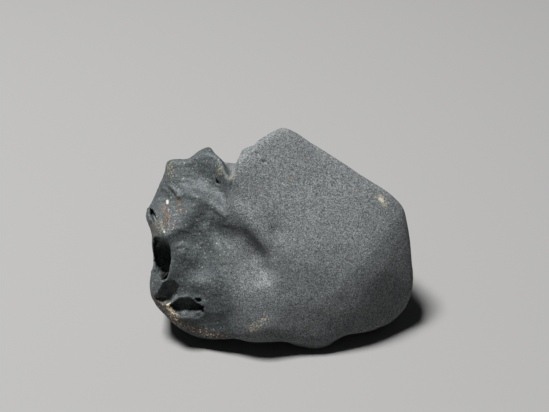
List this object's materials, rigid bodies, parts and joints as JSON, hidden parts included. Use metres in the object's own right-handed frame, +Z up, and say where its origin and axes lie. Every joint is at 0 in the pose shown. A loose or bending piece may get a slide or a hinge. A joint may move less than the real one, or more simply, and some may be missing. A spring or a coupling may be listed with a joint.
{
  "type": "meteorite",
  "caption": "Iron meteorite with a broad smooth face, a dented and pitted end and thumbprint hollows, leaning back on a flat sole.",
  "frame": {"origin": "on the ground, below the middle of the stone's bounding box", "axes": "+Z up; +X along the stone's longest side, with the pitted end at -X; the broad smooth face looks towards -Y and up"},
  "size_m": [0.0794, 0.0542, 0.0587],
  "materials": {
    "crust": "matte dark grey fusion crust with a very fine grain, flecked with rust and small bright worn spots"
  },
  "bodies": {
    "root": {"meteorite": "crust"}
  },
  "joints": []
}
